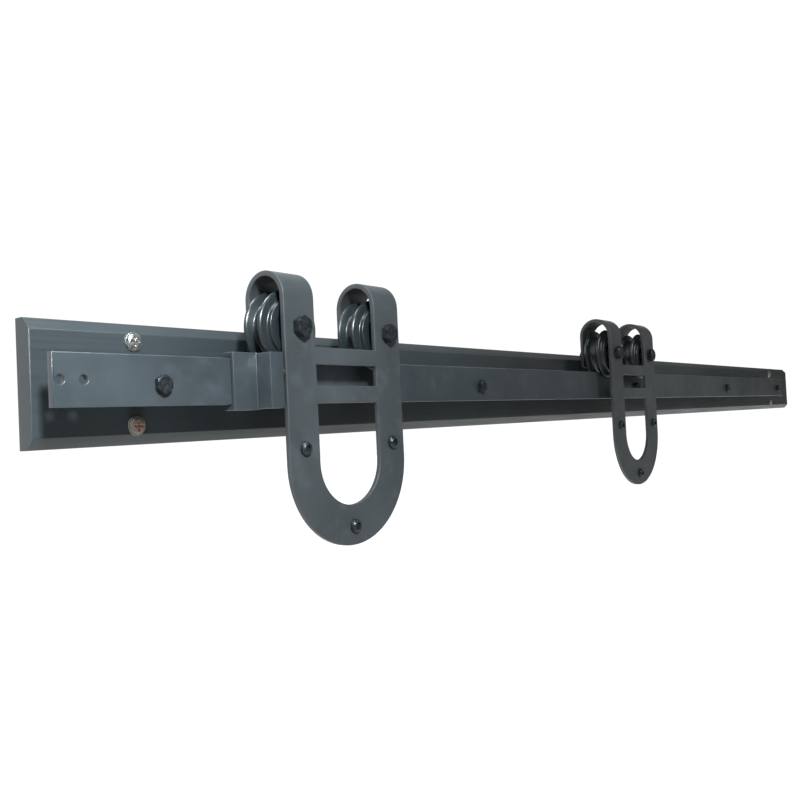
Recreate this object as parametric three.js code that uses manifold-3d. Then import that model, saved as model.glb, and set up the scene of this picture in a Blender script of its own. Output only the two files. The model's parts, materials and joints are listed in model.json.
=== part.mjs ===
// Barn door track: a bevelled header board carries a flat steel rail on spacers, and two horseshoe
// hangers roll along the rail's top edge on two flanged wheels each. Millimetres. +X runs along the
// rail, +Y points into the wall, +Z is up. The origin is the centre of the board's back face.
import * as THREE from "three";
import { mergeVertices } from "three/addons/utils/BufferGeometryUtils.js";
import Module from "manifold-3d";

const wasm = await Module();
wasm.setup();

// ---- Driving dimensions ----------------------------------------------------------------------

const GAP = 0.3; // left between pieces that rest on each other
const BOARD = { length: 2060, height: 100, thick: 19, bevelWidth: 9, bevelDepth: 8 };
const SPACER = { length: 34, radius: 7.2, bore: 4.6 };
const RAIL = { length: 1868, height: 40, thick: 6 };
const RAIL_OVERHANG = 5; // how far the rail stands out past the board's left end
const RAIL_LEFT = -BOARD.length / 2 - RAIL_OVERHANG;
const RAIL_FRONT = -(BOARD.thick + SPACER.length + RAIL.thick);
const RAIL_BACK = RAIL_FRONT + RAIL.thick;
const RAIL_MIDDLE = (RAIL_FRONT + RAIL_BACK) / 2;

// Places along the rail, measured from its left end.
const RAIL_BOLTS_AT = [91.5, 546, 1000.5, 1455, 1822];
const END_HOLES_AT = [6, 24.6];
const WALL_SCREWS_AT = [94, 1909];
const HANGERS_AT = { left: 285.5, right: 950.5 };

const RAIL_BOLT = { acrossFlats: 13.5, head: 5.5, shank: 4, z: -3 }; // low enough to clear the wheels
const WALL_SCREW = { height: 34.5, radius: 8, head: 4, shank: 3.5, slot: 1.6, slotDepth: 1.5 };
const END_HOLE_RADIUS = 3.5;
const SHORT_OF_WALL = 1; // every screw ends this far inside the board's back face

// The hanger: a horseshoe of flat steel whose two arms fold back over the wheels as loops.
const HANGER = { halfWidth: 80, band: 38, thick: 5, bendAt: 75, bowAt: -75, leafBottom: 28.5 };
const LOOP_RADIUS = 25; // outside of the folded loop
const HANGER_FRONT = RAIL_MIDDLE - LOOP_RADIUS;
const HANGER_BACK = HANGER_FRONT + HANGER.thick;
const LEAF_FRONT = RAIL_MIDDLE + LOOP_RADIUS - HANGER.thick;
const WINDOW = { bottom: -4.9, top: 14.7 };
const CROSSBARS = { bottom: -20.8, top: 30.5 };
const ARM_INSIDE = HANGER.halfWidth - HANGER.band;
const ARM_MIDDLE = HANGER.halfWidth - HANGER.band / 2;
const DOOR_BOLTS_AT = [[-ARM_MIDDLE, -61], [ARM_MIDDLE, -61], [0, -137]];
const DOOR_BOLT = { radius: 6.5, head: 4.5, shank: 4, behind: 5, key: 6 };

// The wheel: a grooved tread between two rounded flanges, turning on a sealed bearing.
const WHEEL = { tread: 27.5, flange: 36, boss: 27, halfWidth: 16, bore: 14.3 };
const AXLE_Z = RAIL.height / 2 + WHEEL.tread + GAP;
const BEARING = { radius: 14, bore: 6.4, halfWidth: 6 };
const AXLE_BOLT = { acrossFlats: 17, head: 7.5, shank: 6 };
const AXLE_NUT = { acrossFlats: 18, height: 6 };
const BUSH = { radius: 8.5, bore: 6.3, seat: 2 };

// The stop: a sleeve on the rail with a lip that steps forward to meet the left hanger's edge.
const STOP = { left: 161, web: 187, right: 202.5, height: 50, wall: 4 };
const STOP_LIP = { height: 49, thick: 8, web: 3 };
const BUMPER = { radius: 3.75, z: 7, face: 2.4, stem: 2, depth: 6 };
const SET_SCREW = { radius: 3, length: 10, key: 3 };

const SIDES = { rod: 12, ring: 16, wheel: 24, arc: 10 };

// ---- Materials -------------------------------------------------------------------------------

const finish = (color, roughness, metalness) =>
  new THREE.MeshStandardMaterial({ color, roughness, metalness });
const BOARD_PAINT = finish(0x3c4549, 0.55, 0);
const RAIL_COAT = finish(0x3a4247, 0.38, 0.3);
const HANGER_COAT = finish(0x3b4144, 0.45, 0.3);
const BLACK_STEEL = finish(0x23292d, 0.4, 0.6);
const WHEEL_NYLON = finish(0x2a3134, 0.25, 0);
const BRIGHT_STEEL = finish(0xa8a8a4, 0.3, 1);
const ZINC = finish(0xb8b6b0, 0.3, 1);
const RUST = finish(0x7c5a48, 0.7, 0.5);
const RUBBER = finish(0x1b1c1e, 0.8, 0);

// ---- Solids ----------------------------------------------------------------------------------

// Turns a closed three.js geometry into a solid that can be cut and joined.
function solid(geometry) {
  const shape = geometry.clone();
  shape.deleteAttribute("normal");
  shape.deleteAttribute("uv");
  const merged = mergeVertices(shape, 1e-4);
  const corners = merged.index.array;
  const triangles = [];
  for (let i = 0; i < corners.length; i += 3) {
    const [a, b, c] = corners.slice(i, i + 3);
    if (a !== b && b !== c && c !== a) triangles.push(a, b, c);
  }
  const mesh = new wasm.Mesh({
    numProp: 3,
    vertProperties: merged.attributes.position.array,
    triVerts: new Uint32Array(triangles),
  });
  return new wasm.Manifold(mesh);
}

function geometryOf(body) {
  const { vertProperties, triVerts } = body.getMesh();
  const geometry = new THREE.BufferGeometry();
  geometry.setAttribute("position", new THREE.BufferAttribute(vertProperties, 3));
  geometry.setIndex(new THREE.BufferAttribute(triVerts, 1));
  return geometry;
}

function box([x0, x1], [y0, y1], [z0, z1]) {
  const block = new THREE.BoxGeometry(x1 - x0, y1 - y0, z1 - z0);
  return solid(block.translate((x0 + x1) / 2, (y0 + y1) / 2, (z0 + z1) / 2));
}

// A round bar parallel to Y from y0 to y1, through x and z.
function rod(radius, y0, y1, x = 0, z = 0, sides = SIDES.rod) {
  const cylinder = new THREE.CylinderGeometry(radius, radius, y1 - y0, sides);
  return solid(cylinder.translate(x, (y0 + y1) / 2, z));
}

// A round bar parallel to X from x0 to x1, through y and z.
function rodAlongX(radius, x0, x1, y, z, sides = SIDES.rod) {
  const cylinder = new THREE.CylinderGeometry(radius, radius, x1 - x0, sides);
  return solid(cylinder.rotateZ(-Math.PI / 2).translate((x0 + x1) / 2, y, z));
}

// A hexagonal bar on the Y axis, with two corners up and down.
const hexagon = (acrossFlats, y0, y1) => rod(acrossFlats / Math.sqrt(3), y0, y1, 0, 0, 6);

const ring = (radius, bore, y0, y1) =>
  rod(radius, y0, y1, 0, 0, SIDES.ring).subtract(rod(bore, y0 - 1, y1 + 1));

// A closed profile of [radius, y] points turned round the Y axis.
function turned(profile, sides = SIDES.ring) {
  const points = [...profile, profile[0]].map(([radius, y]) => new THREE.Vector2(radius, y));
  return solid(new THREE.LatheGeometry(points, sides));
}

// An outline extruded along zAxis, with the outline's own x and y laid on xAxis and yAxis, and then
// moved by the vector from.
function extruded(shape, depth, xAxis, yAxis, zAxis, from) {
  const body = new THREE.ExtrudeGeometry(shape, {
    depth,
    bevelEnabled: false,
    curveSegments: SIDES.arc,
  });
  body.applyMatrix4(new THREE.Matrix4().makeBasis(xAxis, yAxis, zAxis));
  return solid(body.translate(...from));
}

const X = new THREE.Vector3(1, 0, 0);
const Y = new THREE.Vector3(0, 1, 0);
const Z = new THREE.Vector3(0, 0, 1);

function add(parent, name, body, material, x = 0, y = 0, z = 0) {
  const mesh = new THREE.Mesh(geometryOf(body), material);
  mesh.name = name;
  mesh.position.set(x, y, z);
  parent.add(mesh);
}

const track = new THREE.Group();
const railGroup = new THREE.Group(); // x measured from the rail's left end
railGroup.position.x = RAIL_LEFT;
track.add(railGroup);

// ---- Header board ----------------------------------------------------------------------------

// A square-cut length of board whose two front edges are bevelled.
function bevelledSlab() {
  const half = BOARD.height / 2;
  const face = half - BOARD.bevelWidth;
  const shoulder = BOARD.bevelDepth - BOARD.thick;
  const section = new THREE.Shape()
    .moveTo(0, -half)
    .lineTo(0, half)
    .lineTo(shoulder, half)
    .lineTo(-BOARD.thick, face)
    .lineTo(-BOARD.thick, -face)
    .lineTo(shoulder, -half)
    .closePath();
  return extruded(section, BOARD.length, Y, Z, X, [RAIL_OVERHANG, 0, 0]);
}

function headerBoard() {
  const drill = (radius, x, z) => rod(radius, -BOARD.thick - 1, 1, x, z);
  const screwHole = WALL_SCREW.shank + GAP;
  let board = bevelledSlab();
  for (const at of RAIL_BOLTS_AT) board = board.subtract(drill(SPACER.bore, at, RAIL_BOLT.z));
  for (const at of WALL_SCREWS_AT) {
    board = board.subtract(drill(screwHole, at, WALL_SCREW.height));
    board = board.subtract(drill(screwHole, at, -WALL_SCREW.height));
  }
  return board;
}

add(railGroup, "header_board", headerBoard(), BOARD_PAINT);

// A pan-headed screw with a cross recess, its head on y = 0 and its tip short of the wall.
function wallScrew() {
  const { radius, head, shank, slot, slotDepth } = WALL_SCREW;
  const profile = [
    [0, -GAP],
    [radius, -GAP],
    [radius, -head * 0.4],
    [radius * 0.85, -head * 0.75],
    [radius * 0.5, -head],
    [0, -head],
  ];
  const across = [-radius / 2, radius / 2];
  const narrow = [-slot / 2, slot / 2];
  const deep = [-head - 1, slotDepth - head];
  return turned(profile.reverse())
    .add(rod(shank, -head / 2, BOARD.thick - SHORT_OF_WALL))
    .subtract(box(across, deep, narrow))
    .subtract(box(narrow, deep, across));
}

WALL_SCREWS_AT.forEach((at, i) => {
  const side = i ? "right" : "left";
  const z = WALL_SCREW.height;
  add(railGroup, `wall_screw_upper_${side}`, wallScrew(), ZINC, at, -BOARD.thick, z);
  add(railGroup, `wall_screw_lower_${side}`, wallScrew(), RUST, at, -BOARD.thick, -z);
});

// ---- Rail, spacers and rail bolts ------------------------------------------------------------

function rail() {
  const drill = (radius, at, z) => rod(radius, RAIL_FRONT - 1, RAIL_BACK + 1, at, z);
  const half = RAIL.height / 2;
  let bar = box([0, RAIL.length], [RAIL_FRONT, RAIL_BACK], [-half, half]);
  for (const at of RAIL_BOLTS_AT) bar = bar.subtract(drill(SPACER.bore, at, RAIL_BOLT.z));
  for (const at of END_HOLES_AT) bar = bar.subtract(drill(END_HOLE_RADIUS, at, 0));
  return bar;
}

add(railGroup, "track_rail", rail(), RAIL_COAT);

// A hexagon-headed bolt: the head stands in front of y = 0 and the shank runs back to y = end.
function hexBolt({ acrossFlats, head, shank }, end) {
  const front = -GAP - head;
  const corner = acrossFlats * 0.6;
  const chamfer = turned([
    [0, 0],
    [0, front],
    [acrossFlats * 0.46, front],
    [corner, front + 0.2 * head],
    [corner, 0],
  ]);
  return hexagon(acrossFlats, front, -GAP)
    .intersect(chamfer)
    .add(rod(shank, -head / 2, end));
}

RAIL_BOLTS_AT.forEach((at, i) => {
  const spacer = ring(SPACER.radius, SPACER.bore, GAP, SPACER.length - GAP);
  const bolt = hexBolt(RAIL_BOLT, -RAIL_FRONT - SHORT_OF_WALL);
  add(railGroup, `spacer_${i + 1}`, spacer, RAIL_COAT, at, RAIL_BACK, RAIL_BOLT.z);
  add(railGroup, `rail_bolt_${i + 1}`, bolt, BLACK_STEEL, at, RAIL_FRONT, RAIL_BOLT.z);
});

// ---- Stop ------------------------------------------------------------------------------------

const BUMPER_Y = HANGER_FRONT + STOP_LIP.thick / 2;
const SET_SCREW_AT = (STOP.left + STOP.web) / 2;

function stopBracket() {
  const { left, web, right, height, wall } = STOP;
  const passage = RAIL.height / 2 + GAP;
  const tall = [-STOP_LIP.height / 2, STOP_LIP.height / 2];
  const webBack = RAIL_FRONT - GAP;
  const sleeve = box([left, web + 1], [RAIL_FRONT - wall, RAIL_BACK + wall], [-height / 2, height / 2]);
  const railWay = box([left - 1, web + 2], [RAIL_FRONT - GAP, RAIL_BACK + GAP], [-passage, passage]);
  const step = box([web, web + STOP_LIP.web], [HANGER_FRONT, webBack], tall);
  const lip = box([web, right], [HANGER_FRONT, HANGER_FRONT + STOP_LIP.thick], tall);
  const screwHole = rod(SET_SCREW.radius + GAP, RAIL_BACK + GAP, RAIL_BACK + 2 * wall, SET_SCREW_AT);
  const stemHole = rodAlongX(BUMPER.stem + GAP, right - BUMPER.depth - GAP, right + 1, BUMPER_Y, BUMPER.z);
  return sleeve.subtract(railWay).add(step).add(lip).subtract(screwHole).subtract(stemHole);
}

add(railGroup, "stop_bracket", stopBracket(), RAIL_COAT);

// A grub screw through the sleeve's back wall, with a hexagonal key socket in its outer end.
function setScrew() {
  const { radius, length, key } = SET_SCREW;
  return rod(radius, GAP, length).subtract(hexagon(key, length - key, length + 1));
}

add(railGroup, "stop_set_screw", setScrew(), BLACK_STEEL, SET_SCREW_AT, RAIL_BACK + GAP);

// A rubber button on the lip's end, held by a stem, that cushions the hanger's edge.
function bumper() {
  const { radius, face, stem, depth } = BUMPER;
  return rodAlongX(radius, GAP, face, 0, 0).add(rodAlongX(stem, -depth, face / 2, 0, 0));
}

add(railGroup, "stop_bumper", bumper(), RUBBER, STOP.right, BUMPER_Y, BUMPER.z);

// ---- Hangers ---------------------------------------------------------------------------------

// The flat horseshoe, seen from the front: two arms joined by a bow below and two crossbars above.
function horseshoeOutline() {
  const { halfWidth, bendAt, bowAt } = HANGER;
  const outline = new THREE.Shape()
    .moveTo(-halfWidth, bendAt)
    .lineTo(-halfWidth, bowAt)
    .absarc(0, bowAt, halfWidth, Math.PI, 2 * Math.PI, false)
    .lineTo(halfWidth, bendAt)
    .lineTo(ARM_INSIDE, bendAt)
    .lineTo(ARM_INSIDE, CROSSBARS.top)
    .lineTo(-ARM_INSIDE, CROSSBARS.top)
    .lineTo(-ARM_INSIDE, bendAt)
    .closePath();
  const window = new THREE.Path()
    .moveTo(-ARM_INSIDE, WINDOW.bottom)
    .lineTo(ARM_INSIDE, WINDOW.bottom)
    .lineTo(ARM_INSIDE, WINDOW.top)
    .lineTo(-ARM_INSIDE, WINDOW.top)
    .closePath();
  const opening = new THREE.Path()
    .moveTo(ARM_INSIDE, CROSSBARS.bottom)
    .lineTo(-ARM_INSIDE, CROSSBARS.bottom)
    .lineTo(-ARM_INSIDE, bowAt)
    .absarc(0, bowAt, ARM_INSIDE, Math.PI, 2 * Math.PI, false)
    .closePath();
  outline.holes.push(window, opening);
  return outline;
}

// A loop, seen from its left side: up the front, round over the wheel and down the back leaf.
function loopOutline() {
  const { thick, bendAt, leafBottom } = HANGER;
  const front = HANGER_FRONT;
  const back = LEAF_FRONT + thick;
  const start = bendAt - thick;
  return new THREE.Shape()
    .moveTo(front, start)
    .lineTo(front, bendAt)
    .absarc(RAIL_MIDDLE, bendAt, LOOP_RADIUS, Math.PI, 0, true)
    .lineTo(back, leafBottom)
    .lineTo(LEAF_FRONT, leafBottom)
    .lineTo(LEAF_FRONT, bendAt)
    .absarc(RAIL_MIDDLE, bendAt, LOOP_RADIUS - thick, 0, Math.PI, false)
    .lineTo(HANGER_BACK, start)
    .closePath();
}

function hangerPlate() {
  const forwards = Y.clone().negate();
  let plate = extruded(horseshoeOutline(), HANGER.thick, X, Z, forwards, [0, HANGER_BACK, 0]);
  for (const axle of [-ARM_MIDDLE, ARM_MIDDLE]) {
    const from = [axle - HANGER.band / 2, 0, 0];
    plate = plate
      .add(extruded(loopOutline(), HANGER.band, Y, Z, X, from))
      .subtract(rod(BUSH.bore, HANGER_FRONT - 1, LEAF_FRONT + 2 * HANGER.thick, axle, AXLE_Z))
      .subtract(rod(BUSH.radius + GAP, HANGER_BACK - BUSH.seat, LEAF_FRONT + BUSH.seat, axle, AXLE_Z));
  }
  for (const [x, z] of DOOR_BOLTS_AT) {
    plate = plate.subtract(rod(DOOR_BOLT.shank + GAP, HANGER_FRONT - 1, HANGER_BACK + 1, x, z));
  }
  return plate;
}

// The profile runs from the middle of the groove over the flange to the boss, and is mirrored.
function wheel() {
  const { tread, flange, boss, halfWidth, bore } = WHEEL;
  const half = [
    [tread, 4.2],
    [flange - 1.5, 7.2],
    [flange, 9],
    [flange - 2, 11.2],
    [boss + 1.5, halfWidth - 4],
    [boss, halfWidth - 3],
    [boss, halfWidth - 1],
    [boss - 1, halfWidth],
    [bore + 5, halfWidth],
    [bore + 3.5, halfWidth - 2],
    [bore, halfWidth - 2],
  ];
  const mirrored = half.map(([radius, y]) => [radius, -y]).reverse();
  return turned([...mirrored, ...half], SIDES.wheel);
}

// A button-headed screw with a hexagonal key socket; its head starts a gap in front of y = 0.
function doorBolt() {
  const { radius, head, shank, behind, key } = DOOR_BOLT;
  const dome = turned([
    [0, -GAP],
    [0, -GAP - head],
    [radius * 0.62, -GAP - head],
    [radius * 0.88, -GAP - head * 0.72],
    [radius, -GAP - head * 0.3],
    [radius, -GAP],
  ]);
  return dome
    .add(rod(shank, -head / 2, HANGER.thick + behind))
    .subtract(hexagon(key, -head - 1, -head / 2));
}

const BACK_OF_LEAF = LEAF_FRONT + HANGER.thick;
const AXLE_END = BACK_OF_LEAF + AXLE_NUT.height + 2.5;

for (const [side, at] of Object.entries(HANGERS_AT)) {
  const hanger = new THREE.Group();
  hanger.position.x = at;
  railGroup.add(hanger);
  add(hanger, `hanger_${side}`, hangerPlate(), HANGER_COAT);

  [-ARM_MIDDLE, ARM_MIDDLE].forEach((x, i) => {
    const label = `${side}_${i + 1}`;
    const axleBolt = hexBolt(AXLE_BOLT, AXLE_END - HANGER_FRONT);
    const nut = hexagon(AXLE_NUT.acrossFlats, GAP, AXLE_NUT.height).subtract(
      rod(BUSH.bore, -1, AXLE_NUT.height + 1),
    );
    const bushInner = BEARING.halfWidth + GAP;
    const bushOuter = LOOP_RADIUS - HANGER.thick + BUSH.seat - GAP;
    const bush = ring(BUSH.radius, BUSH.bore, bushInner, bushOuter);
    const frontBush = ring(BUSH.radius, BUSH.bore, -bushOuter, -bushInner);
    const bearing = ring(BEARING.radius, BEARING.bore, -BEARING.halfWidth, BEARING.halfWidth);
    add(hanger, `wheel_${label}`, wheel(), WHEEL_NYLON, x, RAIL_MIDDLE, AXLE_Z);
    add(hanger, `bearing_${label}`, bearing, BRIGHT_STEEL, x, RAIL_MIDDLE, AXLE_Z);
    add(hanger, `bush_front_${label}`, frontBush, BRIGHT_STEEL, x, RAIL_MIDDLE, AXLE_Z);
    add(hanger, `bush_back_${label}`, bush, BRIGHT_STEEL, x, RAIL_MIDDLE, AXLE_Z);
    add(hanger, `axle_bolt_${label}`, axleBolt, BLACK_STEEL, x, HANGER_FRONT, AXLE_Z);
    add(hanger, `axle_nut_${label}`, nut, BLACK_STEEL, x, BACK_OF_LEAF, AXLE_Z);
  });

  DOOR_BOLTS_AT.forEach(([x, z], i) => {
    add(hanger, `door_bolt_${side}_${i + 1}`, doorBolt(), BLACK_STEEL, x, HANGER_FRONT, z);
  });
}

export default track;
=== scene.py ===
import json
import math

import bmesh
import bpy
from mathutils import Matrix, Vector


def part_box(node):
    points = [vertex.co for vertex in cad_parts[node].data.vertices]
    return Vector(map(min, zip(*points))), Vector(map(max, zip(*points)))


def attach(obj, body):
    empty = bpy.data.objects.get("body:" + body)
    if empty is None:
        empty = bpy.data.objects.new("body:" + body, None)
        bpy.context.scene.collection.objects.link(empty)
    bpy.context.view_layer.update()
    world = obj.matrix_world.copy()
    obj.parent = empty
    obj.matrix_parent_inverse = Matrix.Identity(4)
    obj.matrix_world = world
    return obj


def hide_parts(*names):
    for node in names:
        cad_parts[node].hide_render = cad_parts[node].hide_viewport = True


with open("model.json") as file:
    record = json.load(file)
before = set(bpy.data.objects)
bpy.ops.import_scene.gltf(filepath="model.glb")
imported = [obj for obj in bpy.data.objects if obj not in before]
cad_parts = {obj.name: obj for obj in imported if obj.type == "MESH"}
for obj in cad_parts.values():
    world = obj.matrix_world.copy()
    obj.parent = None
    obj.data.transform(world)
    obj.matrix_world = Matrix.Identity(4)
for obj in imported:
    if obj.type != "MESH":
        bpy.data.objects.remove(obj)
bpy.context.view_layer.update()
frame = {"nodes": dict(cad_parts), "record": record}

MM = 0.001
SIDES = ("left", "right")


def corners(node):
    low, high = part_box(node)
    return Vector(low), Vector(high)


def middle(node):
    low, high = corners(node)
    return (low + high) / 2


def along_y(node):
    """Where a piece that is round about Y starts, its radius and its length."""
    low, high = corners(node)
    centre = middle(node)
    return Vector((centre.x, low.y, centre.z)), (high.x - low.x) / 2, high.y - low.y


BOARD_LOW, BOARD_HIGH = corners("header_board")
RAIL_LOW, RAIL_HIGH = corners("track_rail")
RAIL_MIDDLE_Y = (RAIL_LOW.y + RAIL_HIGH.y) / 2
RAIL_END = Vector((RAIL_LOW.x, RAIL_LOW.y, 0))  # left end of its face: camera and lights start there

# ---- Camera ----------------------------------------------------------------------------------

EYE_FROM_RAIL_END = Vector((-0.3151, -0.5634, -0.0428))
YAW, PITCH, ROLL = 0.8967, 0.0275, -0.0482  # radians: from +Y towards +X, up, and about the view
LENS_MM = 38.36
SENSOR_MM = 36


def add_camera():
    flat = math.cos(PITCH)
    forward = Vector((math.sin(YAW) * flat, math.cos(YAW) * flat, math.sin(PITCH)))
    level = Vector((math.cos(YAW), -math.sin(YAW), 0))
    above = level.cross(forward)
    across = math.cos(ROLL) * level + math.sin(ROLL) * above
    up = across.cross(forward)
    camera = bpy.data.objects.new("camera", bpy.data.cameras.new("camera"))
    camera.data.lens = LENS_MM
    camera.data.sensor_width = SENSOR_MM
    camera.data.clip_start = 0.02
    eye = RAIL_END + EYE_FROM_RAIL_END
    matrix = camera.matrix_world.copy()
    for i, column in enumerate((across, up, -forward, eye)):
        for row in range(3):
            matrix[row][i] = column[row]
    camera.matrix_world = matrix
    bpy.context.scene.collection.objects.link(camera)
    bpy.context.scene.camera = camera


add_camera()

# ---- Material building blocks ----------------------------------------------------------------


class Paint:
    """One material, with short calls for the nodes that its finishes share."""

    def __init__(self, name, metallic=0.0, **constants):
        self.material = bpy.data.materials.new(name)
        self.material.use_nodes = True
        self.tree = self.material.node_tree
        self.shader = self.tree.nodes["Principled BSDF"]
        self.shader.inputs["Metallic"].default_value = metallic
        for socket, value in constants.items():
            self.shader.inputs[socket.replace("_", " ")].default_value = value
        self.place = self.node("ShaderNodeTexCoord").outputs["Object"]
        self.normal = None

    def node(self, kind, **settings):
        made = self.tree.nodes.new(kind)
        for key, value in settings.items():
            setattr(made, key, value)
        return made

    def link(self, source, target):
        self.tree.links.new(source, target)

    def stretched(self, factors):
        """Object coordinates scaled per axis, so that a texture runs long along one of them."""
        mapping = self.node("ShaderNodeMapping")
        mapping.inputs["Scale"].default_value = factors
        self.link(self.place, mapping.inputs["Vector"])
        return mapping.outputs["Vector"]

    def noise(self, scale, detail=4.0, roughness=0.55, place=None, distortion=0.0):
        made = self.node("ShaderNodeTexNoise")
        made.inputs["Scale"].default_value = scale
        made.inputs["Detail"].default_value = detail
        made.inputs["Roughness"].default_value = roughness
        made.inputs["Distortion"].default_value = distortion
        self.link(place or self.place, made.inputs["Vector"])
        return made.outputs["Fac"]

    def speckle(self, scale):
        made = self.node("ShaderNodeTexVoronoi", feature="F1")
        made.inputs["Scale"].default_value = scale
        self.link(self.place, made.inputs["Vector"])
        return made.outputs["Distance"]

    def remap(self, value, low, high, new_low=0.0, new_high=1.0):
        made = self.node("ShaderNodeMapRange", interpolation_type="SMOOTHSTEP")
        for socket, number in zip(
            ("From Min", "From Max", "To Min", "To Max"), (low, high, new_low, new_high)
        ):
            made.inputs[socket].default_value = number
        self.link(value, made.inputs["Value"])
        return made.outputs["Result"]

    def times(self, a, b):
        made = self.node("ShaderNodeMath", operation="MULTIPLY")
        for socket, value in zip(made.inputs, (a, b)):
            if isinstance(value, (int, float)):
                socket.default_value = value
            else:
                self.link(value, socket)
        return made.outputs["Value"]

    def mix(self, share, first, second):
        """A colour between two, each a colour or a socket."""
        made = self.node("ShaderNodeMix", data_type="RGBA")
        self.link(share, made.inputs["Factor"])
        for socket, value in ((made.inputs[6], first), (made.inputs[7], second)):
            if isinstance(value, tuple):
                socket.default_value = (*value, 1)
            else:
                self.link(value, socket)
        return made.outputs[2]

    def edges(self, width, strength):
        """Up to strength on edges within that width, worn unevenly, and 0 on flat faces."""
        rounded = self.node("ShaderNodeBevel", samples=6)
        rounded.inputs["Radius"].default_value = width
        flat = self.node("ShaderNodeNewGeometry").outputs["Normal"]
        dot = self.node("ShaderNodeVectorMath", operation="DOT_PRODUCT")
        self.link(rounded.outputs["Normal"], dot.inputs[0])
        self.link(flat, dot.inputs[1])
        sharp = self.remap(dot.outputs["Value"], 0.995, 0.8)
        broken = self.remap(self.noise(70, 5), 0.42, 0.6)
        return self.times(self.times(sharp, broken), strength)

    def attribute(self, name):
        return self.node("ShaderNodeAttribute", attribute_name=name).outputs["Fac"]

    def bump(self, height, distance, strength=1.0):
        """Adds one layer of relief, with that distance in metres, on top of the last."""
        made = self.node("ShaderNodeBump")
        made.inputs["Distance"].default_value = distance
        made.inputs["Strength"].default_value = strength
        self.link(height, made.inputs["Height"])
        if self.normal:
            self.link(self.normal, made.inputs["Normal"])
        self.normal = made.outputs["Normal"]

    def done(self, colour, roughness):
        self.link(colour, self.shader.inputs["Base Color"])
        self.link(roughness, self.shader.inputs["Roughness"])
        if self.normal:
            self.link(self.normal, self.shader.inputs["Normal"])
        return self.material


def shade(colour, factor):
    return tuple(channel * factor for channel in colour)


def powder_coat(name, colour, gloss):
    """Baked powder coat: fine orange peel, slow patches of tone and dust, and paler worn edges."""
    paint = Paint(name)
    patches = paint.remap(paint.noise(9, 5), 0.3, 0.7)
    tone = paint.mix(patches, shade(colour, 0.82), shade(colour, 1.2))
    dust = paint.remap(paint.noise(45, 8, 0.65), 0.5, 0.78, 0, 0.35)
    dusty = paint.mix(dust, tone, shade(colour, 2.0))
    worn = paint.mix(paint.edges(1.2 * MM, 0.35), dusty, shade(colour, 4.0))
    paint.bump(paint.noise(600, 2), 0.03 * MM)
    paint.bump(paint.noise(60, 3), 0.12 * MM, 0.35)
    rough = paint.remap(paint.noise(24, 6, 0.6), 0.3, 0.7, gloss - 0.06, gloss + 0.09)
    return paint.done(worn, rough)


def painted_wood(name, colour, gloss):
    """Paint over planed wood: long low grain, brush marks along X, and rubbed edges."""
    paint = Paint(name)
    along = paint.stretched((2.5, 60, 60))
    fibres = paint.noise(3.5, 7, 0.6, place=along, distortion=0.4)
    strokes = paint.noise(9, 3, 0.5, place=paint.stretched((1.2, 90, 90)))
    patches = paint.remap(paint.noise(5, 4), 0.3, 0.7)
    tone = paint.mix(patches, shade(colour, 0.8), shade(colour, 1.22))
    grained = paint.mix(paint.remap(fibres, 0.55, 0.75, 0, 0.16), tone, shade(colour, 0.6))
    scuffs = paint.remap(paint.noise(30, 9, 0.7, distortion=1.0), 0.62, 0.8, 0, 0.2)
    scuffed = paint.mix(scuffs, grained, shade(colour, 2.4))
    worn = paint.mix(paint.edges(1.6 * MM, 0.4), scuffed, shade(colour, 3.6))
    paint.bump(fibres, 0.12 * MM, 0.35)
    paint.bump(strokes, 0.06 * MM, 0.35)
    rough = paint.remap(strokes, 0.3, 0.7, gloss - 0.06, gloss + 0.1)
    return paint.done(worn, rough)


def black_oxide(name, colour):
    """Blackened steel: mottled, with bare metal just showing on the corners."""
    paint = Paint(name, metallic=0.55)
    mottle = paint.remap(paint.noise(260, 5), 0.35, 0.68)
    tone = paint.mix(mottle, shade(colour, 0.7), shade(colour, 1.5))
    worn = paint.mix(paint.edges(0.8 * MM, 0.6), tone, (0.2, 0.2, 0.2))
    paint.bump(paint.noise(700, 3), 0.03 * MM)
    return paint.done(worn, paint.remap(mottle, 0, 1, 0.28, 0.46))


def nylon(name, colour):
    """Moulded nylon with turning lines round the tread and light scuffs."""
    paint = Paint(name)
    rings = paint.noise(14, 4, place=paint.stretched((0.4, 110, 0.4)))
    scuffs = paint.remap(paint.noise(55, 8, 0.7), 0.5, 0.75)
    tone = paint.mix(scuffs, colour, shade(colour, 1.8))
    paint.bump(rings, 0.05 * MM, 0.6)
    return paint.done(tone, paint.remap(scuffs, 0, 1, 0.28, 0.46))


def turned_steel(name, colour, roughness):
    """Lathe-turned steel with fine rings and a film of oil in patches."""
    paint = Paint(name, metallic=1.0)
    oil = paint.remap(paint.noise(120, 5), 0.35, 0.7)
    tone = paint.mix(oil, colour, shade(colour, 0.55))
    paint.bump(paint.noise(30, 2, place=paint.stretched((1, 120, 1))), 0.02 * MM)
    return paint.done(tone, paint.remap(oil, 0, 1, roughness, roughness + 0.15))


def zinc(name, colour):
    """Bright zinc with crystalline flecks and small spots of grime."""
    paint = Paint(name, metallic=0.95)
    flecks = paint.speckle(900)
    tone = paint.mix(paint.remap(flecks, 0.1, 0.7), colour, shade(colour, 0.42))
    grime = paint.mix(paint.remap(paint.noise(330, 6), 0.52, 0.7), tone, (0.09, 0.075, 0.055))
    paint.bump(flecks, 0.12 * MM, 0.8)
    return paint.done(grime, paint.remap(flecks, 0, 1, 0.22, 0.5))


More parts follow.
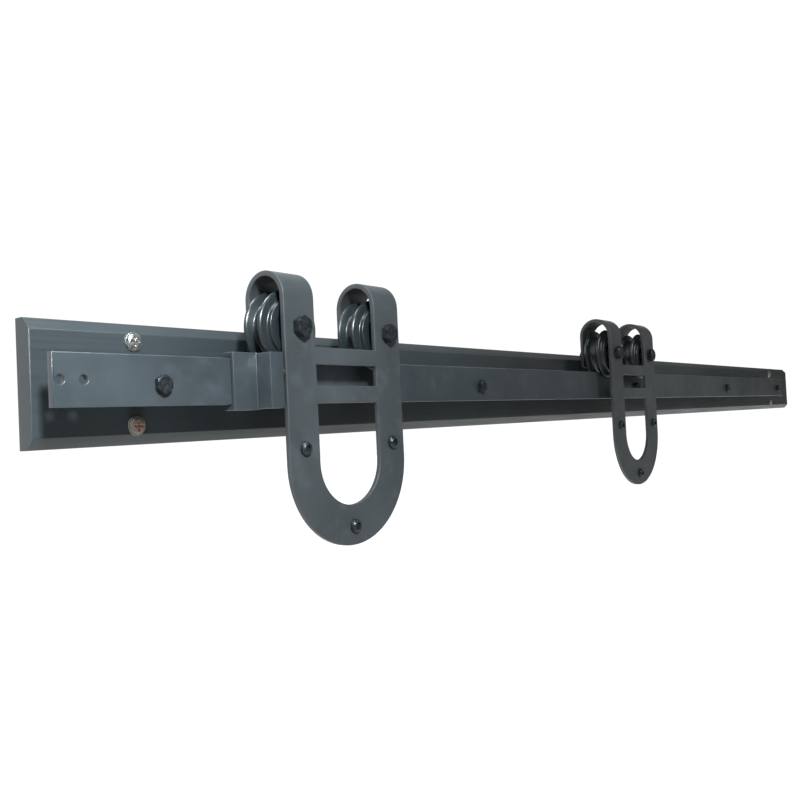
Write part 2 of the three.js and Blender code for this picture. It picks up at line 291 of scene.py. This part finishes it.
def rust(name, rim, heart):
    """A plated screw gone rusty: a dull buff rim and an orange-brown, pitted middle."""
    paint = Paint(name, metallic=0.25)
    middle = paint.remap(paint.attribute("reach"), 0.72, 0.42)
    blotches = paint.noise(420, 6, 0.65)
    patchy = paint.times(middle, paint.remap(blotches, 0.25, 0.6, 0.55, 1.0))
    tone = paint.mix(patchy, rim, heart)
    pitted = paint.mix(paint.remap(blotches, 0.58, 0.72), tone, shade(heart, 0.5))
    paint.bump(blotches, 0.25 * MM, 0.7)
    return paint.done(pitted, paint.remap(blotches, 0.3, 0.7, 0.5, 0.8))


def rubber(name, colour):
    """Matt rubber with a fine moulded grain and a bloom of grey."""
    paint = Paint(name)
    bloom = paint.remap(paint.noise(300, 6), 0.4, 0.7)
    paint.bump(paint.noise(1500, 3), 0.05 * MM)
    tone = paint.mix(bloom, colour, shade(colour, 2.2))
    return paint.done(tone, paint.remap(bloom, 0, 1, 0.7, 0.88))


MATERIALS = {
    "board_paint": painted_wood("board_paint", (0.027, 0.034, 0.038), 0.42),
    "rail_coat": powder_coat("rail_coat", (0.036, 0.044, 0.050), 0.34),
    "hanger_coat": powder_coat("hanger_coat", (0.042, 0.048, 0.052), 0.46),
    "bolt_black": black_oxide("bolt_black", (0.024, 0.028, 0.031)),
    "wheel_nylon": nylon("wheel_nylon", (0.016, 0.020, 0.022)),
    "bearing_steel": turned_steel("bearing_steel", (0.45, 0.45, 0.44), 0.28),
    "bush_steel": turned_steel("bush_steel", (0.3, 0.3, 0.3), 0.35),
    "screw_zinc": zinc("screw_zinc", (0.72, 0.71, 0.68)),
    "screw_rusty": rust("screw_rusty", (0.27, 0.25, 0.225), (0.5, 0.31, 0.25)),
    "bumper_rubber": rubber("bumper_rubber", (0.012, 0.013, 0.014)),
}
SLOT_OF = {part["node"]: part["material_slot"] for part in frame["record"]["subparts"]}
BODY_OF = {
    node: body for body, nodes in frame["record"]["behaviour"]["bodies"].items() for node in nodes
}

# ---- Shape building blocks -------------------------------------------------------------------

SHARP = math.radians(32)  # faces that meet at more than this show an edge
EDGE_STEPS = 3
HOLE_STEPS = 32


def stand_for(node, bm):
    """Makes the finished piece from a bmesh in the row frame, in place of the CAD node."""
    bmesh.ops.recalc_face_normals(bm, faces=bm.faces)
    mesh = bpy.data.meshes.new(node + "_shape")
    bm.to_mesh(mesh)
    bm.free()
    mesh.polygons.foreach_set("use_smooth", [True] * len(mesh.polygons))
    mesh.set_sharp_from_angle(angle=SHARP)
    piece = bpy.data.objects.new(node + "_piece", mesh)
    bpy.context.scene.collection.objects.link(piece)
    mesh.materials.append(MATERIALS[SLOT_OF[node]])
    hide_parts(node)
    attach(piece, BODY_OF[node])


def soften(points, radius, steps=4, closed=False):
    """The same line of 2-D points with each corner rounded off. A point may carry its own radius."""
    count = len(points)
    line = []
    for i, point in enumerate(points):
        here = Vector(point[:2])
        if not closed and i in (0, count - 1):
            line.append(here)
            continue
        reach = point[2] if len(point) > 2 else radius
        before = Vector(points[i - 1][:2]) - here
        after = Vector(points[(i + 1) % count][:2]) - here
        start = here + before.normalized() * min(reach, 0.45 * before.length)
        end = here + after.normalized() * min(reach, 0.45 * after.length)
        for k in range(steps + 1):
            t = k / steps
            line.append(start.lerp(here, t).lerp(here.lerp(end, t), t))
    return line


def spin(rings, centre, axis="Y", steps=96, closed=False):
    """A body turned round an axis. A ring is (radius, distance along the axis), or a function that
    gives both at an angle; a first or last ring of radius 0 is a pole."""
    bm = bmesh.new()
    reach = bm.verts.layers.float.new("reach")
    widest = 0
    rows = []
    for ring in rings:
        places = []
        for k in range(steps):
            angle = 2 * math.pi * k / steps
            radius, along = ring(angle) if callable(ring) else ring
            widest = max(widest, radius)
            places.append((radius, along, angle))
        if max(radius for radius, _, _ in places) < 1e-9:
            places = places[:1]
        row = []
        for radius, along, angle in places:
            side, up = radius * math.sin(angle), radius * math.cos(angle)
            offset = Vector((side, along, up) if axis == "Y" else (along, side, up))
            vert = bm.verts.new(centre + offset)
            vert[reach] = radius
            row.append(vert)
        rows.append(row)
    for vert in bm.verts:
        vert[reach] /= widest
    pairs = list(zip(rows, rows[1:]))
    if closed:
        pairs.append((rows[-1], rows[0]))
    for first, second in pairs:
        for k in range(steps):
            j = (k + 1) % steps
            a, b = first[k % len(first)], first[j % len(first)]
            c, d = second[j % len(second)], second[k % len(second)]
            face = [a]
            for vert in (b, c, d):
                if vert not in face:
                    face.append(vert)
            bm.faces.new(face)
    return bm


FLAT_FACE = 0.47  # radius of a hexagon head's flat, round face, over its width across flats
CHAMFER_SLOPE = 0.55


def hexagon(flats, along, ease=0.985):
    """A ring with six sides, with a corner at the top and one below, each corner eased a little."""
    corner = flats / math.sqrt(3)

    def place(angle):
        turn = angle % (math.pi / 3) - math.pi / 6
        return min(flats / 2 / math.cos(turn), corner * ease), along

    return place


def hex_chamfer(flats, along, towards):
    """The curved line where a cone cuts a hexagon's six sides."""
    outline = hexagon(flats, along)

    def place(angle):
        radius, _ = outline(angle)
        return radius, along + towards * CHAMFER_SLOPE * (radius - FLAT_FACE * flats)

    return place


def inset_loop(loop, distance):
    """A closed outline moved into the material, which lies on its left."""
    moved = []
    for i, here in enumerate(loop):
        before = (here - loop[i - 1]).normalized()
        after = (loop[(i + 1) % len(loop)] - here).normalized()
        n1, n2 = Vector((-before.y, before.x)), Vector((-after.y, after.x))
        moved.append(here + (n1 + n2) * (distance / (1 + n1.dot(n2))))
    return moved


def rim(thickness, fillet):
    """(inset, depth) down an edge with both corners rounded, front to back. A flat margin round
    each keeps the large faces evenly shaded."""
    half = thickness / 2
    turn = [math.pi / 2 * k / EDGE_STEPS for k in range(EDGE_STEPS + 1)]
    front = [(2 * fillet, -half)]
    front += [(fillet * (1 - math.sin(a)), -half + fillet * (1 - math.cos(a))) for a in turn]
    back = [(inset, -depth) for inset, depth in reversed(front)]
    return front + back


def plate(loops, edges, place, strips=()):
    """A sheet with holes. loops are outlines in the sheet's plane with the material on their left,
    edges give each loop's (inset, depth) from front to back, and place puts (across, depth, up) in
    the row frame. A strip is a run of pairs of the first loop's corners with square faces between
    them, for a stretch that bends."""
    bm = bmesh.new()
    walls = []
    for loop, edge in zip(loops, edges):
        rings = []
        for inset, depth in edge:
            points = inset_loop(loop, inset) if inset else loop
            rings.append([bm.verts.new((p.x, depth, p.y)) for p in points])
        walls.append(rings)
        for first, second in zip(rings, rings[1:]):
            for k in range(len(loop)):
                j = (k + 1) % len(loop)
                bm.faces.new((first[k], first[j], second[j], second[k]))
    for end in (0, -1):
        outer = walls[0][end]
        sides = set()
        boundary = []
        for strip in strips:
            for (a, b), (c, d) in zip(strip, strip[1:]):
                bm.faces.new((outer[a], outer[c], outer[d], outer[b]))
                sides.update((frozenset((a, c)), frozenset((b, d))))
            for a, b in (strip[0], strip[-1]):
                boundary.append(bm.edges.get((outer[a], outer[b])))
        for i, rings in enumerate(walls):
            ring = rings[end]
            for k in range(len(ring)):
                j = (k + 1) % len(ring)
                if i or frozenset((k, j)) not in sides:
                    boundary.append(bm.edges.get((ring[k], ring[j])))
        bmesh.ops.triangle_fill(bm, use_beauty=True, edges=boundary, normal=(0, 1, 0))
    for vert in bm.verts:
        vert.co = place(*vert.co)
    return bm


def round_hole(x, z, radius):
    """Clockwise, so that the material lies on its left."""
    turn = [-2 * math.pi * k / HOLE_STEPS for k in range(HOLE_STEPS)]
    return [Vector((x + radius * math.cos(a), z + radius * math.sin(a))) for a in turn]


def arc(x, z, radius, start, end, steps):
    turn = [start + (end - start) * k / steps for k in range(steps + 1)]
    return [Vector((x + radius * math.cos(a), z + radius * math.sin(a))) for a in turn]


# ---- Header board and rail -------------------------------------------------------------------

BOARD_BEVEL = 9 * MM
BEVEL_DEPTH = 8 * MM
BOARD_BACK_EASE = 1.5 * MM
FLAT_MARGIN = 2 * MM
SQUARE_CUT = 0.7 * MM  # rounding of the board's sawn ends
BOLT_HOLE = 4.6 * MM
SCREW_HOLE = 3.8 * MM
END_HOLE = 3.5 * MM
END_HOLES_AT = (6 * MM, 24.6 * MM)
RAIL_BOLTS = [node for node in frame["nodes"] if node.startswith("rail_bolt")]
WALL_SCREWS = [node for node in frame["nodes"] if node.startswith("wall_screw")]


def rectangle(low, high):
    """Anticlockwise, so that the material lies on its left."""
    return [Vector(p) for p in ((low.x, low.z), (high.x, low.z), (high.x, high.z), (low.x, high.z))]


def bored(nodes, radius):
    """A hole for each of the bolts or screws."""
    return [round_hole(middle(node).x, middle(node).z, radius) for node in nodes]


def header_board():
    thickness = BOARD_HIGH.y - BOARD_LOW.y
    half = thickness / 2
    outer = soften(
        [
            (BOARD_BEVEL + FLAT_MARGIN, -half),
            (BOARD_BEVEL, -half),
            (0, -half + BEVEL_DEPTH),
            (0, half),
            (BOARD_BACK_EASE, half),
        ],
        1.0 * MM,
    )
    holes = bored(RAIL_BOLTS, BOLT_HOLE) + bored(WALL_SCREWS, SCREW_HOLE)
    edges = [outer] + [rim(thickness, 0.4 * MM)] * len(holes)
    centre = (BOARD_LOW.y + BOARD_HIGH.y) / 2

    def square_ended(x, depth, z):
        left, right = x - BOARD_LOW.x, BOARD_HIGH.x - x
        if depth < 0 and min(left, right) < 2 * BOARD_BEVEL:
            shift = min(left, right, BOARD_BEVEL - SQUARE_CUT)
            x += shift if right < left else -shift
        return Vector((x, centre + depth, z))

    loops = [rectangle(BOARD_LOW, BOARD_HIGH)] + holes
    stand_for("header_board", plate(loops, edges, square_ended))


def track_rail():
    thickness = RAIL_HIGH.y - RAIL_LOW.y
    holes = bored(RAIL_BOLTS, BOLT_HOLE)
    holes += [round_hole(RAIL_LOW.x + at, 0, END_HOLE) for at in END_HOLES_AT]
    edge = rim(thickness, 0.7 * MM)
    loops = [rectangle(RAIL_LOW, RAIL_HIGH)] + holes
    bm = plate(loops, [edge] * len(loops), lambda x, depth, z: Vector((x, RAIL_MIDDLE_Y + depth, z)))
    stand_for("track_rail", bm)


header_board()
track_rail()

# ---- Screws, bolts, nuts and spacers ---------------------------------------------------------

CROSS_LENGTH = 3.9 * MM
CROSS_WIDTH = 0.85 * MM
CROSS_DEPTH = 1.5 * MM
DOME_STEPS = 28
WASHER = 1.3 * MM
TIP = 1.2 * MM  # chamfer at a shank's end
PLAY = 0.3 * MM  # between a shank and its hole
SHANK_RADIUS = {"rail": 4 * MM, "axle": 6 * MM}
AXLE_BORE = SHANK_RADIUS["axle"] + PLAY
RAIL_BOLT_HEAD = 5.5 * MM
AXLE_BOLT_HEAD = 7.5 * MM
NUT_EASE = 0.6 * MM


def wall_screw(node):
    """A pan head over a washer face, with a cross recess."""
    front, radius, length = along_y(node)
    head = BOARD_LOW.y - front.y
    centre = Vector((front.x, BOARD_LOW.y, front.z))
    end = length - head
    dome_radius = 0.86 * radius
    shank = SCREW_HOLE - PLAY

    def dome(share):
        def place(angle):
            reach = share * dome_radius
            x, z = abs(reach * math.sin(angle)), abs(reach * math.cos(angle))
            narrow, wide = min(x, z), max(x, z)
            wall = 1 / (1 + math.exp((narrow - CROSS_WIDTH) / (0.12 * MM)))
            tip = 1 / (1 + math.exp((wide - CROSS_LENGTH) / (0.2 * MM)))
            crown = (head - WASHER) * math.sqrt(max(0.0, 1 - share**2.6))
            return reach, -WASHER - crown + CROSS_DEPTH * wall * tip

        return place

    rings = [dome(k / DOME_STEPS) for k in range(DOME_STEPS + 1)]
    rings += soften([(0.9 * radius, -WASHER), (radius, -WASHER), (radius, 0)], 0.5 * MM)
    rings += [(shank, 0), (shank, end - TIP), (shank / 2, end), (0, end)]
    stand_for(node, spin(rings, centre))


def hex_bolt(node, head, shank):
    """A chamfered hexagon head with a dished face, over a washer face, and its shank."""
    centre, half_flats, end = along_y(node)
    flats = 2 * half_flats
    under = head - 0.5 * MM
    rings = [
        (0, 0.35 * MM),
        (0.28 * flats, 0.3 * MM),
        (0.36 * flats, 0),
        (FLAT_FACE * flats, 0),
        hex_chamfer(flats, 0, 1),
        hexagon(flats, under),
        (FLAT_FACE * flats, under),
        (FLAT_FACE * flats, head),
        (shank, head),
        (shank, end - TIP),
        (shank - TIP / 2, end),
        (0, end),
    ]
    stand_for(node, spin(rings, centre))


def axle_nut(node):
    """A hexagon nut with both faces chamfered."""
    centre, half_flats, height = along_y(node)
    flats = 2 * half_flats
    rings = [
        (AXLE_BORE + NUT_EASE, 0),
        (FLAT_FACE * flats, 0),
        hex_chamfer(flats, 0, 1),
        hex_chamfer(flats, height, -1),
        (FLAT_FACE * flats, height),
        (AXLE_BORE + NUT_EASE, height),
        (AXLE_BORE, height - NUT_EASE),
        (AXLE_BORE, NUT_EASE),
    ]
    stand_for(node, spin(rings, centre, closed=True))


def door_bolt(node):
    """A round button head with a hexagonal key socket."""
    centre, radius, end = along_y(node)
    head, shank, key = 4.5 * MM, 4 * MM, 6 * MM
    crown = soften(
        [
            (key / math.sqrt(3) + 0.5 * MM, 0),
            (0.66 * radius, 0),
            (0.95 * radius, 0.45 * head),
            (radius, 0.8 * head),
            (radius, head),
            (shank, head),
        ],
        1.2 * MM,
    )
    rings = [(0, 2.6 * MM), hexagon(key, 2.2 * MM, 1), hexagon(key, 0.25 * MM, 1)]
    rings += crown + [(shank, end - TIP), (shank - TIP / 2, end), (0, end)]
    stand_for(node, spin(rings, centre))


def collar(node, bore, chamfer):
    """A plain round spacer or bush with eased ends."""
    centre, radius, length = along_y(node)
    profile = [(bore, 0), (radius, 0), (radius, length), (bore, length)]
    rings = soften(profile, chamfer, steps=EDGE_STEPS, closed=True)
    stand_for(node, spin(rings, centre, closed=True))


for node in sorted(frame["nodes"]):
    if node.startswith("wall_screw"):
        wall_screw(node)
    elif node.startswith("rail_bolt"):
        hex_bolt(node, RAIL_BOLT_HEAD, SHANK_RADIUS["rail"])
    elif node.startswith("axle_bolt"):
        hex_bolt(node, AXLE_BOLT_HEAD, SHANK_RADIUS["axle"])
    elif node.startswith("axle_nut"):
        axle_nut(node)
    elif node.startswith("door_bolt"):
        door_bolt(node)
    elif node.startswith("spacer"):
        collar(node, BOLT_HOLE, 0.5 * MM)
    elif node.startswith("bush"):
        collar(node, AXLE_BORE, 0.4 * MM)

# ---- Stop ------------------------------------------------------------------------------------


WELD = 0.01 * MM
STOP_EDGE = 0.9 * MM


def stop_bracket():
    """The CAD bracket with its edges rounded off."""
    bm = bmesh.new()
    bm.from_mesh(frame["nodes"]["stop_bracket"].data)
    bmesh.ops.remove_doubles(bm, verts=bm.verts, dist=WELD)
    bmesh.ops.dissolve_limit(bm, angle_limit=math.radians(1), verts=bm.verts, edges=bm.edges)
    hard = [e for e in bm.edges if e.calc_face_angle(0) > math.radians(50)]
    bmesh.ops.bevel(bm, geom=hard, offset=STOP_EDGE, segments=4, profile=0.5, affect="EDGES")
    stand_for("stop_bracket", bm)


def stop_set_screw():
    """A headless screw with a key socket in its back end."""
    centre, radius, length = along_y("stop_set_screw")
    key = 3 * MM
    rings = [
        (0, 0),
        (0.6 * radius, 0),
        (radius, 1 * MM),
        (radius, length - 0.5 * MM),
        (radius - 0.5 * MM, length),
        hexagon(key, length, 1),
        hexagon(key, length - 3 * MM, 1),
        (0, length - 3.4 * MM),
    ]
    stand_for("stop_set_screw", spin(rings, centre))


def stop_bumper():
    """A rubber button on a stem, turned round X."""
    low, high = corners("stop_bumper")
    centre = Vector((low.x, middle("stop_bumper").y, middle("stop_bumper").z))
    radius, stem, face = (high.z - low.z) / 2, 2 * MM, 2.1 * MM
    length = high.x - low.x
    under = length - face
    profile = [(0, 0), (stem, 0), (stem, under), (radius, under), (radius, length), (0, length)]
    stand_for("stop_bumper", spin(soften(profile, 0.8 * MM), centre, axis="X"))


stop_bracket()
stop_set_screw()
stop_bumper()

# ---- Hangers ---------------------------------------------------------------------------------

THICK = 5 * MM
BAND = 38 * MM
WINDOW_LOW, WINDOW_TOP = -4.9 * MM, 14.7 * MM
CROSSBAR_LOW, CROSSBAR_TOP = -20.8 * MM, 30.5 * MM
LEAF_BOTTOM = 28.5 * MM
AXLE_HOLE = 6.3 * MM
DOOR_HOLE = 4.3 * MM
LEAF_CORNER = 3 * MM
HANGER_EDGE = 0.8 * MM
BEND_STEPS = 28
BOW_STEPS = 72
OPENING_STEPS = 56


def hanger(node, side):
    """Cut flat as one sheet, with two arms running up, and then folded over the wheels."""
    low, high = corners(node)
    centre_x = (low.x + high.x) / 2
    outside = (high.x - low.x) / 2
    inside = outside - BAND
    arm = outside - BAND / 2
    loop_middle = (low.y + high.y) / 2
    bend_radius = (high.y - low.y - THICK) / 2  # of the sheet's middle
    bend_at = high.z - (high.y - low.y) / 2
    bow_at = low.z + outside
    bend_length = math.pi * bend_radius
    leaf_at = bend_at + bend_length
    end = leaf_at + bend_at - LEAF_BOTTOM
    axle_up = middle(f"wheel_{side}_1").z
    rises = [bend_at + bend_length * k / BEND_STEPS for k in range(BEND_STEPS + 1)]

    right_out = [Vector((outside, z)) for z in rises]
    right_in = [Vector((inside, z)) for z in reversed(rises)]
    left_in = [Vector((-inside, z)) for z in rises]
    left_out = [Vector((-outside, z)) for z in reversed(rises)]

    def leaf_end(first, second):
        box = [(first, leaf_at), (first, end), (second, end), (second, leaf_at)]
        return soften(box, LEAF_CORNER, steps=5)[1:-1]

    outline = arc(0, bow_at, outside, math.pi, 2 * math.pi, BOW_STEPS)
    right_start = len(outline)
    outline += right_out + leaf_end(outside, inside)
    right_back = len(outline)
    outline += right_in + [Vector((inside, CROSSBAR_TOP)), Vector((-inside, CROSSBAR_TOP))]
    left_start = len(outline)
    outline += left_in + leaf_end(-inside, -outside)
    left_back = len(outline)
    outline += left_out

    def strip(first, last):
        return [(first + k, last + BEND_STEPS - k) for k in range(BEND_STEPS + 1)]

    window = [(-inside, WINDOW_LOW), (-inside, WINDOW_TOP), (inside, WINDOW_TOP), (inside, WINDOW_LOW)]
    opening = [Vector((-inside, CROSSBAR_LOW)), Vector((inside, CROSSBAR_LOW))]
    opening += arc(0, bow_at, inside, 0, -math.pi, OPENING_STEPS)
    holes = [[Vector(p) for p in window], opening]
    for x in (-arm, arm):
        holes.append(round_hole(x, axle_up, AXLE_HOLE))
        holes.append(round_hole(x, leaf_at + bend_at - axle_up, AXLE_HOLE))
    for k in (1, 2, 3):
        bolt = middle(f"door_bolt_{side}_{k}")
        holes.append(round_hole(bolt.x - centre_x, bolt.z, DOOR_HOLE))

    def fold(x, depth, up):
        turn = min(max((up - bend_at) / bend_radius, 0.0), math.pi)
        radius = bend_radius - depth
        straight_back = max(up - leaf_at, 0.0)
        y = loop_middle - radius * math.cos(turn)
        z = min(up, bend_at) + radius * math.sin(turn) - straight_back
        return Vector((centre_x + x, y, z))

    loops = [outline] + holes
    edges = [rim(THICK, HANGER_EDGE)] * len(loops)
    strips = [strip(right_start, right_back), strip(left_start, left_back)]
    stand_for(node, plate(loops, edges, fold, strips))


for side in SIDES:
    hanger(f"hanger_{side}", side)

# ---- Wheels and bearings ---------------------------------------------------------------------

TREAD, FLANGE, BOSS, BORE = 27.5 * MM, 36 * MM, 27 * MM, 14.3 * MM
BEARING_BORE = 6.4 * MM
SHIELD_DEPTH = 0.6 * MM
WHEEL_STEPS = 144


def wheel(node):
    """Half of the section, from the groove's middle out to the face, mirrored and turned."""
    half_width = along_y(node)[2] / 2
    half = [
        (TREAD, 4.2 * MM, 1.5 * MM),
        (FLANGE - 1.5 * MM, 7.2 * MM, 1.5 * MM),
        (FLANGE, 9 * MM, 1.2 * MM),
        (FLANGE - 2 * MM, 11.2 * MM, 1.4 * MM),
        (BOSS + 1.2 * MM, 12 * MM, 1.0 * MM),
        (BOSS, 13 * MM, 0.8 * MM),
        (BOSS, half_width, 1.6 * MM),
        (BORE + 5 * MM, half_width, 0.8 * MM),
        (BORE + 3.6 * MM, half_width - 2 * MM, 0.8 * MM),
        (BORE, half_width - 2 * MM, 0.5 * MM),
    ]
    mirrored = [(radius, -y, ease) for radius, y, ease in reversed(half)]
    rings = soften(mirrored + half, 1 * MM, steps=5, closed=True)
    stand_for(node, spin(rings, middle(node), steps=WHEEL_STEPS, closed=True))


def bearing(node):
    """Outer ring, recessed shield and inner ring, turned as one."""
    _, radius, width = along_y(node)
    half = width / 2
    side = [
        (radius, half, 0.5 * MM),
        (radius - 2.2 * MM, half),
        (radius - 2.4 * MM, half - SHIELD_DEPTH),
        (BEARING_BORE + 2.4 * MM, half - SHIELD_DEPTH),
        (BEARING_BORE + 2.2 * MM, half),
        (BEARING_BORE, half, 0.4 * MM),
    ]
    other = [(place[0], -place[1], *place[2:]) for place in reversed(side)]
    rings = soften(side + other, 0.15 * MM, steps=2, closed=True)
    stand_for(node, spin(rings, middle(node), closed=True))


for side in SIDES:
    for k in (1, 2):
        wheel(f"wheel_{side}_{k}")
        bearing(f"bearing_{side}_{k}")

# ---- Floor and light -------------------------------------------------------------------------

FLOOR_BELOW = 1.5
FLOOR_SIZE = 60
FLOOR_TONE = (0.92, 0.92, 0.92)
GLOW = 0.8
COOL, WARM = (0.87, 0.96, 1), (1, 1, 0.95)
KEY_PLACE = (-0.35, -1.0, 0.68)
GLOW_STARTS, GLOW_FULL = -3, 0.2  # along Y: the glow rises from in front of the track to behind it


def fade(tree, place, axis, start, end):
    """0 to 1 along one axis of a place, in a node tree."""
    parts = tree.nodes.new("ShaderNodeSeparateXYZ")
    tree.links.new(tree.nodes.new("ShaderNodeTexCoord").outputs[place], parts.inputs[0])
    share = tree.nodes.new("ShaderNodeMapRange")
    share.interpolation_type = "SMOOTHSTEP"
    share.inputs["From Min"].default_value = start
    share.inputs["From Max"].default_value = end
    tree.links.new(parts.outputs[axis], share.inputs["Value"])
    return share


def add_floor():
    """A pale floor that glows behind the track, so that it meets the backdrop in white."""
    bm = bmesh.new()
    bmesh.ops.create_grid(bm, x_segments=1, y_segments=1, size=FLOOR_SIZE / 2)
    mesh = bpy.data.meshes.new("floor")
    bm.to_mesh(mesh)
    bm.free()
    floor = bpy.data.objects.new("floor", mesh)
    floor.location.z = BOARD_LOW.z - FLOOR_BELOW
    bpy.context.scene.collection.objects.link(floor)
    material = bpy.data.materials.new("floor")
    material.use_nodes = True
    tree = material.node_tree
    shader = tree.nodes["Principled BSDF"]
    shader.inputs["Base Color"].default_value = (*FLOOR_TONE, 1)
    shader.inputs["Roughness"].default_value = 0.9
    shader.inputs["Emission Color"].default_value = (1, 1, 1, 1)
    glow = fade(tree, "Object", "Y", GLOW_STARTS, GLOW_FULL)
    glow.inputs["To Max"].default_value = GLOW
    tree.links.new(glow.outputs["Result"], shader.inputs["Emission Strength"])
    mesh.materials.append(material)


def add_softbox(name, place, target, size, power, colour, spread):
    """A square soft light in one place, aimed at another, both measured from the rail's end."""
    lamp = bpy.data.lights.new(name, "AREA")
    lamp.shape = "RECTANGLE"
    lamp.size = lamp.size_y = size
    lamp.energy = power
    lamp.color = colour
    lamp.spread = math.radians(spread)
    softbox = bpy.data.objects.new(name, lamp)
    softbox.location = RAIL_END + Vector(place)
    aim = Vector(target) - Vector(place)
    softbox.rotation_euler = aim.to_track_quat("-Z", "Y").to_euler()
    bpy.context.scene.collection.objects.link(softbox)


def add_world(backdrop, dim, strength):
    """A white backdrop behind the track, and a dim studio above and in front of it. In a world,
    Generated is the direction looked in."""
    world = bpy.data.worlds.new("studio")
    world.use_nodes = True
    tree = world.node_tree
    both = tree.nodes.new("ShaderNodeMath")
    both.operation = "MULTIPLY"
    behind = fade(tree, "Generated", "Y", 0.02, 0.2)
    below = fade(tree, "Generated", "Z", 0.85, 0.6)
    for share, socket in zip((behind, below), both.inputs):
        tree.links.new(share.outputs["Result"], socket)
    blend = tree.nodes.new("ShaderNodeMix")
    blend.data_type = "RGBA"
    blend.inputs[6].default_value = (*dim, 1)
    blend.inputs[7].default_value = (*backdrop, 1)
    tree.links.new(both.outputs["Value"], blend.inputs["Factor"])
    background = tree.nodes["Background"]
    background.inputs["Strength"].default_value = strength
    tree.links.new(blend.outputs[2], background.inputs["Color"])
    bpy.context.scene.world = world


add_floor()
add_world(backdrop=(1, 1, 1), dim=(0.125, 0.133, 0.125), strength=1.05)
add_softbox("key", KEY_PLACE, (-0.12, 0, -0.02), 0.16, 5.8, COOL, spread=62)
add_softbox("fill", KEY_PLACE, (0.6, 0, 0), 0.22, 3, COOL, spread=110)
add_softbox("top", (-0.1, -0.25, 1.3), (-0.1, 0, 0), 0.4, 4, COOL, spread=70)
add_softbox("far", (1.15, -0.9, 0.45), (1.2, 0, 0), 0.4, 1.5, WARM, spread=90)
bpy.context.scene.view_settings.view_transform = "Standard"
